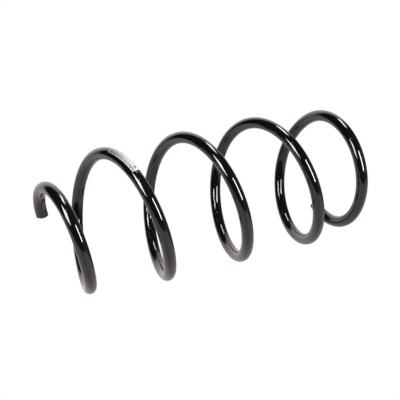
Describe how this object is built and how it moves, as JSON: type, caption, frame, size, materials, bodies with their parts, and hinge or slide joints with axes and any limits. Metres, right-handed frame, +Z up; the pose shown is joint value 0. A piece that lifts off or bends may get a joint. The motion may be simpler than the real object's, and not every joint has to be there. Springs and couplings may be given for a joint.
{
  "type": "suspension coil spring",
  "caption": "Open-wound compression spring of gloss black steel bar, with a flat off-centre seat coil below, a tapered pigtail coil above and a blank paper label on the bar.",
  "frame": {"origin": "on the axis of the body coils, in the plane that the seat coil stands on", "axes": "+Z up along the spring's axis from the seat coil to the pigtail; -Y faces the side that the picture shows"},
  "size_m": [0.155, 0.1572, 0.3356],
  "materials": {
    "powder_coat": "gloss black powder coat with a faint orange peel",
    "label_paper": "coated pale grey paper label, lightly scuffed"
  },
  "bodies": {
    "root": {"coil": "powder_coat", "label": "label_paper"}
  },
  "joints": []
}
